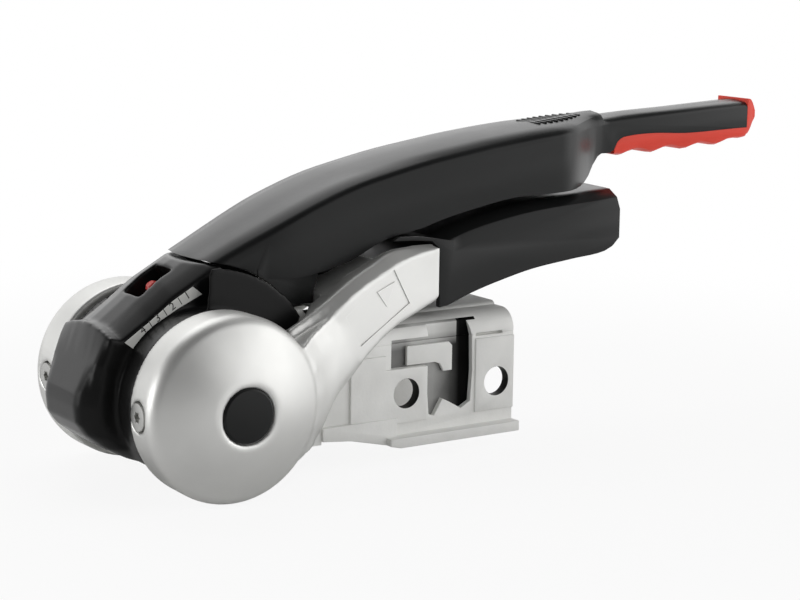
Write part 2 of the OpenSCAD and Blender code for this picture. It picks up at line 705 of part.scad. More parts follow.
jaw_half = slot_half - part_gap;
lining_out = ball_d / 2 + lining_t;
jaw_points = [[20, 12], [30, 20], [pivot_x, 20], [49, 14], [48, 2], [42, -14], [34, -24], [14, -26.5], [14, 0]];

module ball_clamp() {
    color("slategray")
    difference() {
        union() {
            side_slab(-jaw_half, jaw_half) polygon(jaw_points);
            cross_bar(pivot_x, jaw_z, 8, -jaw_half, jaw_half);
        }
        sphere(r = lining_out);
        cross_bar(pivot_x, jaw_z, jaw_r + run_fit, -far, far);
    }
}
module clamp_lining() {
    color("darkslategray")
    difference() {
        intersection() {
            sphere(r = lining_out);
            translate([16, -9, -15]) cube([16, 18, 24]);
        }
        sphere(r = ball_d / 2);
    }
}
module clamp_spring() {
    color("silver") both_sides() for (i = [0:2]) translate([pivot_x, -jaw_half - 0.7 - 1.3 * i, jaw_z])
        rotate([90, 0, 0]) rotate_extrude() translate([jaw_r + 0.7, 0]) circle(r = 0.6, $fn = 16);
}

module pad_carrier() {
    turned_near([[0, bush_in + 1], [pad_r, bush_in + 1], [pad_r, bush_in + 1 + carrier_t], [stem_r, bush_in + 1 + carrier_t],
        [stem_r, plug_in - pad_travel - 0.6], [stem_r - 1, plug_in - pad_travel - 0.3], [0, plug_in - pad_travel - 0.3]]);
}
module pad_lining() {
    difference() {
        cross_bar(0, 0, pad_r, -bush_in - 1, -10);
        sphere(r = ball_d / 2);
    }
}
module left_pad_carrier() { color("gray") pad_carrier(); }
module left_pad_lining() { color("darkslategray") pad_lining(); }
module right_pad_carrier() { color("gray") mirror([0, 1, 0]) pad_carrier(); }
module right_pad_lining() { color("darkslategray") mirror([0, 1, 0]) pad_lining(); }

module pin_clips() {
    color("silver") both_sides() {
        turned_clip(pivot_x, pivot_z, pivot_r);
        turned_clip(pivot_x, jaw_z, jaw_r);
    }
}
module turned_clip(x, z, r) {
    translate([x, 0, z]) turned_near([[r, ear_half], [r + 2.2, ear_half], [r + 2.2, ear_half + 0.5], [r, ear_half + 0.5]]);
}

coupling_housing();
socket_sides();
socket_saddle();
cheek_bushes();
front_pad_carrier();
front_pad_lining();
soft_dock();
wear_scales();
indicator_housing();
indicator_spring();
socket_tongues();
lever_pivot_pin();
clamp_pivot_pin();
pin_clips();
stabiliser_fork();
hub_plugs();
rim_screws();
handle_shell();
handle_screws();
soft_grip();
coupling_lever();
lever_cover();
cover_screws();
ball_clamp();
clamp_lining();
clamp_spring();
left_pad_carrier();
left_pad_lining();
right_pad_carrier();
right_pad_lining();
indicator_pin();
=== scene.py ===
import json
from math import cos, pi, radians, sin

import bmesh
import bpy
from bpy.props import FloatProperty, FloatVectorProperty, IntProperty, PointerProperty
from bpy.types import Operator, Panel, PropertyGroup
from mathutils import Matrix, Vector


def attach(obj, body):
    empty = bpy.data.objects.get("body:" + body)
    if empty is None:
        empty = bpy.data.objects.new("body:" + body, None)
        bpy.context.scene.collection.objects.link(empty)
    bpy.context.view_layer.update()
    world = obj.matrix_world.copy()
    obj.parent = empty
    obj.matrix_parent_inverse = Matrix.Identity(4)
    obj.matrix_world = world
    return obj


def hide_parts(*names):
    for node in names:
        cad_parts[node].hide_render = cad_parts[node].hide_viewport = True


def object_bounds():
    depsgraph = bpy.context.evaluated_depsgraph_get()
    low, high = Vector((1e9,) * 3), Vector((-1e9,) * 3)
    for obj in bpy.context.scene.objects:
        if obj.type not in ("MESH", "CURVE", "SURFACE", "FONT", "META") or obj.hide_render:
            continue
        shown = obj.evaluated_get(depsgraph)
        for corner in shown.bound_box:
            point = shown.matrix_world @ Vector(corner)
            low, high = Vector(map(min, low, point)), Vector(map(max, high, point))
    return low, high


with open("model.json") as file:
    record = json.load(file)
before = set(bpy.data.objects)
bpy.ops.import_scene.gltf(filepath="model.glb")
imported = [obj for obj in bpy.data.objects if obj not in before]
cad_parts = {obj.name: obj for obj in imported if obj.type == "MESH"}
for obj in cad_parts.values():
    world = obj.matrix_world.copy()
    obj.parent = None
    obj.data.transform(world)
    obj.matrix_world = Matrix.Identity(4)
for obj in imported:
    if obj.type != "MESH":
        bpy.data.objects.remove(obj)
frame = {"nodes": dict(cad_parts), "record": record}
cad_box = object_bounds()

bl_info = {
    "name": "Trailer coupling head",
    "version": (1, 0, 0),
    "blender": (4, 5, 0),
    "location": "3D View > Sidebar > Coupling",
    "description": "Dresses the coupling head's solids in their finished pieces and materials",
    "category": "Object",
}

MM = 0.001


# Values that a user would change

def length(name, description, default):
    return FloatProperty(name=name, description=description, default=default * MM, unit="LENGTH",
                         precision=5)


def colour(name, description, default):
    return FloatVectorProperty(name=name, description=description, default=default, subtype="COLOR",
                               size=3, min=0.0, max=1.0)


class CouplingSizes(PropertyGroup):
    casting_edge: length("Casting edge", "Radius of the rounded edges of the castings", 0.9)
    plastic_edge: length("Plastic edge", "Radius of the rounded edges of the mouldings", 0.7)
    small_edge: length("Small edge", "Radius of the broken edges of small steel pieces", 0.25)
    rubber_cell: length("Rubber cell", "Size of the cells from which the bumper is smoothed", 0.9)
    fork_cell: length("Fork cell", "Size of the cells from which the fork is smoothed", 1.0)
    dome_radius: length("Dome radius", "Radius of the domes at their band", 43.0)
    dome_shoulder: length("Dome shoulder", "Radius of the shoulder between a dome's band and its face", 8.2)
    panel_depth: length("Panel depth", "How deep the panel is let into the outside of the arm", 0.7)
    rib_pitch: length("Rib pitch", "Distance between the ribs of the thumb rest", 3.6)
    rib_rise: length("Rib rise", "Height of the ribs of the thumb rest", 0.45)
    rib_count: IntProperty(name="Ribs", description="Number of ribs of the thumb rest", default=9,
                           min=1, max=30)


class CouplingColours(PropertyGroup):
    silver: colour("Silver casting", "Domes and arms", (0.82, 0.82, 0.80))
    zinc: colour("Zinc casting", "Cup, cheeks and drawbar socket", (0.90, 0.90, 0.875))
    steel: colour("Bright steel", "Screws, pins and clips", (0.72, 0.72, 0.70))
    black_steel: colour("Black steel", "Coated lever and clamp", (0.03, 0.03, 0.03))
    bronze: colour("Bronze", "Bearing bushes", (0.50, 0.30, 0.11))
    lining: colour("Friction lining", "Pads that rub on the ball", (0.07, 0.06, 0.05))
    rubber: colour("Rubber", "Front bumper", (0.005, 0.005, 0.005))
    plastic: colour("Black plastic", "Handle, cover and plugs", (0.010, 0.0105, 0.0105))
    grip: colour("Grip", "Soft grip of the handle", (0.92, 0.055, 0.025))
    button: colour("Button", "Pin of the safety indicator", (0.60, 0.03, 0.02))
    label: colour("Label", "Film of the wear scales", (0.80, 0.80, 0.77))
    ink: colour("Ink", "Marks of the wear scales", (0.03, 0.03, 0.03))
    floor: colour("Floor", "Floor under the object", (0.85, 0.85, 0.85))


def sizes():
    return bpy.context.scene.coupling_sizes


def colours():
    return bpy.context.scene.coupling_colours


# Copies and drawn forms, in mm and degrees

COPY_MERGE = 0.02
COPY_FLAT = 0.5
DRAWN_MERGE = 0.01
MARK_MERGE = 0.001
SHARP_ANGLE = 35.0
SMOOTH_ANGLE = 38.0
BEVEL_SEGMENTS = 3

# Places on the domes, in mm: distances are from the middle, along the domes' axis

DOME_RIM = 40.3
DOME_BAND_END = 55.3
DOME_END = 71.8
DOME_FACE_LEAN = 22.0
DOME_FLAT = 16.0
DOME_BULGE = 2.8
DOME_HOLLOW = 38.0
DOME_CHAMFER = 0.4
RIM_CHAMFER = 0.7
RIM_INSET = 0.2
SHOULDER_STEPS = 24
FACE_STEPS = 16
HUB_RADIUS = 18.0
HUB_START = 45.3
HOLLOW_END = 51.3
PLUG_RADIUS = 12.8
PLUG_DEPTH = 4.0
STEM_HOLE = 8.3

# Screws in the rims of the domes, in mm

SCREW_OFFSET = 47.8
SCREW_SEAT_RADIUS = 7.1
SCREW_SEAT_AT = -43.0
SCREW_SEAT_LENGTH = 12.0
SCREW_RADIUS = 6.2
SCREW_AT = -40.3
SCREW_LENGTH = 4.6
SCREW_CHAMFER = 0.5
SCREW_CROWN = 0.1
STAR_RADIUS = 2.9
STAR_AT = -42.6
STAR_LENGTH = 6.0
STAR_POINTS = 6
STAR_WAIST = 0.68

# Near arm of the fork, in mm: its outside as (x, distance from the middle), the others as (x, z)

ARM_SIDE = ((28.0, 51.0), (60.0, 47.0), (90.0, 43.5), (122.0, 41.0))
ARM_PANEL = ((65.4, 33.7), (74.4, 18.8), (103.4, 36.3), (93.9, 53.3))
ARM_ARROW = ((84.0, 43.5), (94.5, 47.5), (89.8, 36.0))
ARROW_MARGIN = 1.0
PANEL_REACH = -9.0
# Lines across the root of the arm, from the dome's shoulder outwards, as (x, y, z)
ARM_ROOT = (
    ((26.5, -63.4, 19.5), (31.5, -63.4, 10.5), (33.2, -63.4, 0), (31, -63.4, -12), (25, -63.4, -22)),
    ((31, -62, 22.5), (36.8, -62, 12), (38.6, -62, 0), (36.5, -62, -12.5), (30.5, -62, -24)),
    ((36, -58.4, 25.5), (42.8, -58.4, 14.5), (45.5, -58.4, 1.5), (44, -58.4, -11.5), (38.5, -58.4, -24)),
    ((42.5, -53.6, 28.5), (49, -53.6, 18.5), (52.5, -53.6, 5.5), (52, -53.6, -6), (48.5, -53.6, -18)),
    ((49.5, -49.7, 31.5), (55.5, -49.7, 23), (60, -49.7, 11), (60, -49.7, 2), (57, -49.7, -6.5)),
    ((60, -46.4, 36.5), (64.5, -46.1, 29.5), (69.5, -45.5, 19), (70.5, -45.4, 12), (67.5, -45.8, 4)))
ARM_ROOT_DEPTH = 12.0
# The arm's root is smoothed between two x, outside one distance from the middle and below its crease
ROOT_SPAN = (43.0, 74.0)
ROOT_OUTSIDE = 44.5
CREASE_START = (46.0, 20.0)
CREASE_SLOPE = 0.62
ROOT_PASSES = 45

# Front corner that is taken off the left side guard of the bumper, as (x, z) in mm

GUARD_CORNER = ((-8.0, 80.0), (-8.0, 43.0), (4.0, 43.5), (12.0, 47.0), (20.0, 51.0), (20.0, 80.0))
GUARD_FROM = 29.0
GUARD_CUT = 5.0

# Ribs of the thumb rest on the handle, in mm

RIBS_FROM = 203.0
RIBS_HEIGHT = 113.95
RIBS_SLOPE = 0.092
RIBS_MIDDLE = 211.0
RIBS_HALF = 10.5
RIBS_TAPER = 0.012
RIB_WIDTH = 1.5
RIB_ROUNDING = 0.45

# Wear scales, in mm and degrees: each numeral stands at (x, z) on the strip

SCALE_MARKS = (("4", -27.6, 33.2), ("3", -20.3, 38.0), ("2", -12.9, 42.6), ("1", -5.4, 46.9))
SCALE_SLOPE = 33.0
SCALE_FACE = 24.5
MARK_SIZE = 5.2
MARK_THICKNESS = 0.08
LINE_HALF_WIDTH = 0.2
LINE_HALF_LENGTH = 1.9

# Drawbar socket, in mm: the recess in its walls, and the painted shade along it as (x, share of the colour
# left), with painted light towards the recess's top and painted shade in the bolt holes

RECESS_FLOOR = 27.0
RECESS_BACK = 25.6
RECESS_START = 99.0
RECESS_END = 152.5
RECESS_PAINTED_SHADE = ((100.0, 0.16), (111.22, 0.16), (115.3, 0.34), (128.05, 0.3), (138.25, 0.06), (143.35, 0.004),
                (151.0, 0.004))
RECESS_TOP = (10.0, 17.0)
RECESS_TOP_END = 141.5
RECESS_TOP_PAINTED_LIGHT = 0.4
BOLT_HOLES = (109.8, 163.8)
BOLT_HEIGHT = -10.5
BOLT_RADIUS = 7.4
BOLT_PAINTED_SHADE = 0.03

# Stage, in metres: each lamp as name, place, width, height and glow of its face

LAMPS = (("right_softbox", (1.15, -1.3, 0.65), 2.5, 1.7, 1.1),
         ("left_softbox", (-1.5, 0.4, 0.2), 0.7, 0.7, 5.0),
         ("top_softbox", (0.1, 0.75, 1.25), 1.2, 1.2, 1.5))
LAMPS_AIM = (0.1, 0.0, 0.03)
ROOM_COLOUR = (0.55, 0.55, 0.55, 1.0)
ROOM_STRENGTH = 0.5
FLOOR_SIZE = 60.0
FLOOR_GAP = 0.0005
FLOOR_X = 0.1
SHADOW_MIDDLE = (0.12, 0.0, 0.0)
BACKDROP_SIDE = (0.555, 0.832, 0.0)
LIT_FLOOR_SIDE = (0.85, -0.53, 0.0)

# Where the photograph was taken from, in degrees and mm, and its focal length in pixels of its width

CAMERA_TURN = -33.707
CAMERA_RISE = 10.516
CAMERA_ROLL = 0.766
CAMERA_AIM = (90.598, -53.062, 40.703)
CAMERA_DISTANCE = 964.73
FOCAL_PIXELS = 2076.98
PHOTO_WIDTH = 800.0
SENSOR_WIDTH = 36.0


# Selection and edit mode

def deselect():
    bpy.ops.object.select_all(action="DESELECT")


def select_only(*pieces):
    if bpy.context.object and bpy.context.object.mode != "OBJECT":
        bpy.ops.object.mode_set(mode="OBJECT")
    deselect()
    for piece in pieces:
        piece.select_set(True)
    bpy.context.view_layer.objects.active = pieces[0]


def edit(piece, element="FACE"):
    select_only(piece)
    bpy.ops.object.mode_set(mode="EDIT")
    bpy.ops.mesh.select_mode(type=element)
    bpy.ops.mesh.select_all(action="DESELECT")


def edit_all(piece, element="FACE"):
    edit(piece, element)
    bpy.ops.mesh.select_all(action="SELECT")


def leave_edit():
    bpy.ops.object.mode_set(mode="OBJECT")


def pick_faces(piece, test):
    """Selects the faces for which test(centre, normal) is true."""
    mesh = bmesh.from_edit_mesh(piece.data)
    for face in mesh.faces:
        face.select_set(bool(test(face.calc_center_median(), face.normal)))
    mesh.select_flush_mode()
    bmesh.update_edit_mesh(piece.data)


def pick_points(piece, test):
    """Selects the points for which test(index) is true."""
    mesh = bmesh.from_edit_mesh(piece.data)
    for index, point in enumerate(mesh.verts):
        point.select_set(bool(test(index)))
    mesh.select_flush_mode()
    bmesh.update_edit_mesh(piece.data)


def merge_doubles(distance):
    """Merges all points that lie within a distance in mm, and selects the whole mesh."""
    bpy.ops.mesh.select_all(action="SELECT")
    bpy.ops.mesh.remove_doubles(threshold=distance * MM)
    bpy.ops.mesh.select_all(action="SELECT")


def extrude_by(step):
    bpy.ops.mesh.extrude_region_move(TRANSFORM_OT_translate={"value": step})


def apply_modifier(piece, kind, **values):
    select_only(piece)
    bpy.ops.object.modifier_add(type=kind)
    modifier = piece.modifiers[-1]
    for key, value in values.items():
        setattr(modifier, key, value)
    bpy.ops.object.modifier_apply(modifier=modifier.name)


def settle(piece):
    """Moves the piece's place into its mesh, so that its object sits at the origin."""
    select_only(piece)
    bpy.ops.object.transform_apply(location=True, rotation=True, scale=True)


def smooth(piece, angle):
    select_only(piece)
    bpy.ops.object.shade_smooth_by_angle(angle=radians(angle))


def joined(*pieces):
    select_only(*pieces)
    bpy.ops.object.join()
    return pieces[0]


def cut(piece, cutter):
    apply_modifier(piece, "BOOLEAN", operation="DIFFERENCE", solver="EXACT", object=cutter)
    bpy.data.objects.remove(cutter)


def remeshed(piece, cell, softness, passes):
    """Turns the piece into one even skin of small faces and softens it."""
    apply_modifier(piece, "REMESH", mode="VOXEL", voxel_size=cell, adaptivity=0.0)
    apply_modifier(piece, "SMOOTH", factor=softness, iterations=passes)


def mirrored(piece):
    """The same piece on the far side, with its own mesh."""
    other = bpy.data.objects.new(piece.name + "_far", piece.data.copy())
    bpy.context.collection.objects.link(other)
    edit_all(other)
    bpy.ops.transform.mirror(constraint_axis=(False, True, False), center_override=(0.0, 0.0, 0.0))
    bpy.ops.mesh.normals_make_consistent(inside=False)
    leave_edit()
    return other


def own(piece, name, body, material):
    """Names the piece, gives it its material and lets it ride its body."""
    piece.name = name
    piece.data.name = name
    piece.data.materials.clear()
    piece.data.materials.append(material)
    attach(piece, body)


def solid_copy(node):
    """A copy of a solid of the frame, with its loose triangles joined into clean faces."""
    piece = bpy.data.objects.new(node + "_copy", frame["nodes"][node].data.copy())
    bpy.context.collection.objects.link(piece)
    edit_all(piece)
    bpy.ops.mesh.remove_doubles(threshold=COPY_MERGE * MM)
    bpy.ops.mesh.dissolve_limited(angle_limit=radians(COPY_FLAT))
    bpy.ops.mesh.normals_make_consistent(inside=False)
    leave_edit()
    return piece


def rounded_copy(node, name, body, material, edge):
    """A copy of a solid with rounded edges, which stands for it."""
    piece = solid_copy(node)
    apply_modifier(piece, "BEVEL", width=edge, segments=BEVEL_SEGMENTS, limit_method="ANGLE",
                   angle_limit=radians(SHARP_ANGLE), harden_normals=False, use_clamp_overlap=True)
    smooth(piece, SMOOTH_ANGLE)
    own(piece, name, body, material)
    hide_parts(node)


# Forms drawn from points

def line_from(name, start, steps):
    """An open line drawn from one point by extrusion, step by step in metres, and left in edit mode."""
    deselect()
    bpy.ops.mesh.primitive_plane_add(size=MM, location=start)
    piece = bpy.context.object
    piece.name = name
    edit_all(piece, "VERT")
    bpy.ops.mesh.merge(type="CENTER")
    for step in steps:
        extrude_by(step)
    return piece


def drawn(name, corners):
    """An open line through (x, y, z) corners, in mm."""
    steps = [(Vector(there) - Vector(here)) * MM for here, there in zip(corners, corners[1:])]
    piece = line_from(name, Vector(corners[0]) * MM, steps)
    leave_edit()
    settle(piece)
    return piece


def turned(name, profile, steps=144):
    """Spins a closed profile of (radius, distance from the middle), in mm, about the domes' axis."""
    places = [Vector((radius, -distance, 0.0)) * MM for radius, distance in profile + profile[:1]]
    piece = line_from(name, places[0], [there - here for here, there in zip(places, places[1:])])
    merge_doubles(DRAWN_MERGE)
    bpy.ops.mesh.spin(steps=steps, angle=2 * pi, center=(0.0, 0.0, 0.0), axis=(0.0, 1.0, 0.0))
    merge_doubles(DRAWN_MERGE)
    bpy.ops.mesh.normals_make_consistent(inside=False)
    leave_edit()
    settle(piece)
    return piece


def thickened(piece, depth):
    """Gives a sheet its thickness along Y, in mm, and closes it."""
    edit_all(piece)
    extrude_by((0.0, depth * MM, 0.0))
    bpy.ops.mesh.select_all(action="SELECT")
    bpy.ops.mesh.normals_make_consistent(inside=False)
    leave_edit()
    return piece


def slab(name, corners, depth):
    """A flat block: an outline of (x, y, z) corners made a face and given a depth along Y."""
    piece = drawn(name, list(corners) + [corners[0]])
    edit(piece, "VERT")
    merge_doubles(DRAWN_MERGE)
    bpy.ops.mesh.edge_face_add()
    leave_edit()
    return thickened(piece, depth)


def bridged(name, lines, depth):
    """A sheet through several drawn lines, given its thickness along Y."""
    piece = joined(*[drawn(name, line) for line in lines])
    edit_all(piece, "EDGE")
    bpy.ops.mesh.bridge_edge_loops()
    leave_edit()
    return thickened(piece, depth)


def bar_along_x(x, y, radius, bar_length, sides=64):
    """A round bar along X with its middle at (x, y, 0), in mm, not settled yet."""
    deselect()
    bpy.ops.mesh.primitive_cylinder_add(vertices=sides, radius=radius * MM, depth=bar_length * MM,
                                        location=(x * MM, y * MM, 0.0), rotation=(0.0, pi / 2, 0.0))
    return bpy.context.object


# Shader nodes

made = {}


def once(maker):
    """Makes a material or a node group when it is first asked for, and gives the same one after that."""
    def found():
        if maker.__name__ not in made:
            made[maker.__name__] = maker()
        return made[maker.__name__]
    return found


def feed(socket, value):
    """Links a socket to another one, or gives it a number or a colour of its own."""
    if isinstance(value, bpy.types.NodeSocket):
        socket.id_data.links.new(value, socket)
    else:
        socket.default_value = value


def add(tree, kind, inputs=None, **settings):
    """Adds a node with these settings, and feeds its inputs."""
    node = tree.nodes.new(kind)
    for key, value in settings.items():
        setattr(node, key, value)
    for label, value in (inputs or {}).items():
        feed(node.inputs[label], value)
    return node


def maths(tree, operation, *values, clamp=False):
    node = add(tree, "ShaderNodeMath", dict(enumerate(values)), operation=operation, use_clamp=clamp)
    return node.outputs["Value"]


def product(tree, *values):
    total = values[0]
    for value in values[1:]:
        total = maths(tree, "MULTIPLY", total, value)
    return total


def total_of(tree, *values):
    """The sum of masks, never more than 1."""
    total = values[0]
    for value in values[1:]:
        total = maths(tree, "ADD", total, value, clamp=True)
    return total


def ranged(tree, value, low, high, start=0.0, end=1.0, curve="LINEAR"):
    """Maps a value from low..high to start..end."""
    node = add(tree, "ShaderNodeMapRange",
               {"Value": value, "From Min": low, "From Max": high, "To Min": start, "To Max": end},
               interpolation_type=curve)
    return node.outputs["Result"]


def along(tree, place, direction, operation="DOT_PRODUCT"):
    """How far a place lies along a direction, or its distance from a point."""
    node = add(tree, "ShaderNodeVectorMath", {0: place, 1: direction}, operation=operation)
    return node.outputs["Value"]


def mixed(tree, factor, one, other, kind="FLOAT"):
    node = add(tree, "ShaderNodeMix", {"Factor": factor, "A": one, "B": other}, data_type=kind)
    return node.outputs["Result"]


def place_of(tree):
    return add(tree, "ShaderNodeTexCoord").outputs["Object"]


def noise(tree, scale, detail):
    node = add(tree, "ShaderNodeTexNoise", {"Vector": place_of(tree), "Scale": scale, "Detail": detail})
    return node.outputs["Fac"]


def blended(tree, factor, one, other):
    """A mix of two shaders."""
    return add(tree, "ShaderNodeMixShader", {0: factor, 1: one, 2: other}).outputs["Shader"]


def new_group(name, inputs, outputs):
    """A node group with number inputs and outputs, and the sockets on its two ends."""
    group = bpy.data.node_groups.new(name, "ShaderNodeTree")
    for label, default in inputs.items():
        socket = group.interface.new_socket(label, in_out="INPUT", socket_type="NodeSocketFloat")
        socket.default_value = default
    for label in outputs:
        group.interface.new_socket(label, in_out="OUTPUT", socket_type="NodeSocketFloat")
    return group, group.nodes.new("NodeGroupInput").outputs, group.nodes.new("NodeGroupOutput").inputs


@once
def grain_group():
    """Fine grain with slow patches: gives a mask, a roughness and a height."""
    group, start, end = new_group(
        "Grain", {"Fine": 900.0, "Patches": 40.0, "Smoothest": 0.3, "Roughest": 0.5},
        ("Mask", "Roughness", "Height"))
    fine = noise(group, start["Fine"], 3.0)
    patches = noise(group, start["Patches"], 4.0)
    mask = ranged(group, patches, 0.3, 0.7)
    feed(end["Mask"], mask)
    feed(end["Roughness"], ranged(group, mask, 0.0, 1.0, start["Smoothest"], start["Roughest"]))
    feed(end["Height"], maths(group, "MULTIPLY_ADD", patches, 0.3, fine))
    return group


@once
def wear_group():
    """A mask that is bright along outer edges, broken up by a noise."""
    group, start, end = new_group("Edge wear", {"Radius": 0.8 * MM, "Amount": 1.0}, ("Mask",))
    rounded = add(group, "ShaderNodeBevel", {"Radius": start["Radius"]}, samples=4).outputs["Normal"]
    plain = add(group, "ShaderNodeNewGeometry").outputs["Normal"]
    edge = ranged(group, along(group, rounded, plain), 0.96, 0.75)
    broken = ranged(group, noise(group, 120.0, 4.0), 0.35, 0.65)
    feed(end["Mask"], maths(group, "MULTIPLY", product(group, edge, broken), start["Amount"], clamp=True))
    return group


@once
def painted_recess_shade_group():
    """How much of the colour is left where shade is painted into the recesses and bolt holes of the drawbar
    socket: grey at the front of the recess, painted black towards its rear, with painted light towards its
    top.
    """
    group, start, end = new_group("Recess", {"Depth": RECESS_FLOOR * MM}, ("Factor",))
    place = add(group, "ShaderNodeSeparateXYZ", {"Vector": place_of(group)}).outputs
    outwards = maths(group, "ABSOLUTE", place["Y"])
    floor = product(group, maths(group, "LESS_THAN", outwards, start["Depth"]),
                    maths(group, "GREATER_THAN", place["X"], RECESS_START * MM),
                    maths(group, "LESS_THAN", place["X"], RECESS_END * MM),
                    maths(group, "GREATER_THAN", outwards, RECESS_BACK * MM))
    # Painted shade along the recess: grey at its front, black towards its rear
    first, last = RECESS_PAINTED_SHADE[0][0], RECESS_PAINTED_SHADE[-1][0]
    tones = add(group, "ShaderNodeValToRGB", {"Fac": ranged(group, place["X"], first * MM, last * MM)})
    stops = tones.color_ramp.elements
    for x, _ in RECESS_PAINTED_SHADE[1:-1]:
        stops.new((x - first) / (last - first))
    for stop, (_, tone) in zip(stops, RECESS_PAINTED_SHADE):
        stop.color = (tone, tone, tone, 1.0)
    # Painted light: the painted shade is lessened towards the top of the recess
    top = ranged(group, place["Z"], RECESS_TOP[0] * MM, RECESS_TOP[1] * MM, 0.0, RECESS_TOP_PAINTED_LIGHT)
    painted_top_light = product(group, top, maths(group, "LESS_THAN", place["X"], RECESS_TOP_END * MM))
    left = mixed(group, floor, 1.0, maths(group, "ADD", tones.outputs["Color"], painted_top_light))
    # Painted shade in the bolt holes: their faces are made nearly black
    upwards = maths(group, "SUBTRACT", place["Z"], BOLT_HEIGHT * MM)
    holes = []
    for x in BOLT_HOLES:
        across = maths(group, "SUBTRACT", place["X"], x * MM)
        square = maths(group, "ADD", product(group, across, across), product(group, upwards, upwards))
        holes.append(maths(group, "LESS_THAN", square, (BOLT_RADIUS * MM) ** 2))
    feed(end["Factor"], mixed(group, total_of(group, *holes), left, BOLT_PAINTED_SHADE))
    return group


# Materials

def toned(base, factor):
    """The same colour, lighter or darker by a factor."""
    return tuple(min(1.0, c * factor) for c in base)


def worn_tone(base):
    """The lighter tone of a colour where its edges are worn."""
    return [min(1.0, 1.25 * c + 0.02) for c in base]


def finish(name, base, patch, metallic=0.0, rough=(0.4, 0.55), fine=900.0, patches=40.0, bump=0.1, depth=0.2,
           worn=None, wear=0.6, radius=0.8, pebbles=0.0, coat=0.0, gloss=0.5, painted_recess_shade=False):
    """A material of two close tones with grain, patches of roughness and worn edges.

    Depth of the grain and radius of the worn edges are in mm. Pebbles is the scale of a moulded skin's
    texture, coat the shine at glancing angles, and the last flag paints shade into the recesses and bolt
    holes of the drawbar socket, darker and more metallic where it is painted.
    """
    material = bpy.data.materials.new(name + "_finish")
    material.use_nodes = True
    tree = material.node_tree
    shader = tree.nodes["Principled BSDF"].inputs
    feed(shader["Metallic"], metallic)
    feed(shader["Specular IOR Level"], gloss)
    feed(shader["Coat Roughness"], 0.22)
    feed(shader["Coat IOR"], 1.8)
    if coat:
        facing = add(tree, "ShaderNodeLayerWeight", {"Blend": 0.5}).outputs["Facing"]
        feed(shader["Coat Weight"], ranged(tree, facing, 0.3, 0.75, 0.0, coat, "SMOOTHSTEP"))
    grain = add(tree, "ShaderNodeGroup", node_tree=grain_group())
    feed(grain.inputs["Fine"], fine)
    feed(grain.inputs["Patches"], patches)
    feed(grain.inputs["Smoothest"], rough[0])
    feed(grain.inputs["Roughest"], rough[1])
    edges = add(tree, "ShaderNodeGroup", node_tree=wear_group())
    feed(edges.inputs["Radius"], radius * MM)
    feed(edges.inputs["Amount"], wear)
    tone = mixed(tree, grain.outputs["Mask"], (*base, 1.0), (*patch, 1.0), "RGBA")
    tone = mixed(tree, edges.outputs["Mask"], tone, (*(worn or worn_tone(base)), 1.0), "RGBA")
    # Painted shade: darkens the colour by place in the recesses and bolt holes of the drawbar socket, and
    # makes it more metallic where it is darkened
    if painted_recess_shade:
        left = add(tree, "ShaderNodeGroup", node_tree=painted_recess_shade_group()).outputs["Factor"]
        shade = add(tree, "ShaderNodeVectorMath", {0: tone, "Scale": left}, operation="SCALE")
        tone = shade.outputs["Vector"]
        feed(shader["Metallic"], maths(tree, "SUBTRACT", 1.0, maths(tree, "MULTIPLY", left, 1.0 - metallic)))
    feed(shader["Base Color"], tone)
    feed(shader["Roughness"], grain.outputs["Roughness"])
    height = grain.outputs["Height"]
    if pebbles:
        skin = add(tree, "ShaderNodeTexVoronoi", {"Vector": place_of(tree), "Scale": pebbles},
                   feature="SMOOTH_F1")
        height = maths(tree, "ADD", skin.outputs["Distance"], height)
    relief = add(tree, "ShaderNodeBump", {"Strength": bump, "Distance": depth * MM, "Height": height})
    feed(shader["Normal"], relief.outputs["Normal"])
    return material


@once
def silver_casting():
    base = tuple(colours().silver)
    return finish("silver_casting", base, toned(base, 0.93), metallic=0.8, rough=(0.40, 0.48), fine=1400.0,
                  patches=30.0, bump=0.12, depth=0.12, wear=0.5, radius=0.9)


@once
def zinc_casting():
    base = tuple(colours().zinc)
    # Painted shade in the recesses and bolt holes of the drawbar socket
    return finish("zinc_casting", base, toned(base, 0.92), metallic=0.12, rough=(0.42, 0.6), fine=650.0,
                  patches=60.0, bump=0.3, depth=0.25, wear=0.5, radius=1.0, painted_recess_shade=True)


@once
def bright_steel():
    base = tuple(colours().steel)
    return finish("bright_steel", base, toned(base, 0.9), metallic=0.9, rough=(0.25, 0.38), fine=1800.0,
                  patches=90.0, bump=0.08, depth=0.1, wear=0.4, radius=0.4)


@once
def black_steel():
    base = tuple(colours().black_steel)
    return finish("black_steel", base, toned(base, 1.6), metallic=0.3, rough=(0.45, 0.6), patches=70.0,
                  bump=0.15, wear=0.7, worn=(0.25, 0.25, 0.25), radius=0.6)


@once
def bronze():
    base = tuple(colours().bronze)
    return finish("bronze", base, toned(base, 0.8), metallic=0.9, rough=(0.3, 0.45), fine=1500.0,
                  patches=80.0, bump=0.08, depth=0.1, radius=0.4)


@once
def friction_lining():
    base = tuple(colours().lining)
    return finish("friction_lining", base, toned(base, 2.0), rough=(0.8, 0.95), fine=2200.0, patches=900.0,
                  bump=0.4, depth=0.3, radius=0.5, pebbles=1500.0)


@once
def bumper_rubber():
    base = tuple(colours().rubber)
    return finish("bumper_rubber", base, toned(base, 1.3), rough=(0.32, 0.42), fine=1100.0, patches=35.0,
                  depth=0.15, wear=0.1, radius=1.2, coat=0.6, gloss=0.2)


@once
def black_plastic():
    base = tuple(colours().plastic)
    return finish("black_plastic", base, toned(base, 1.2), rough=(0.28, 0.36), fine=1500.0, patches=25.0,
                  bump=0.06, depth=0.18, wear=0.1, pebbles=1300.0, coat=0.4, gloss=0.24)


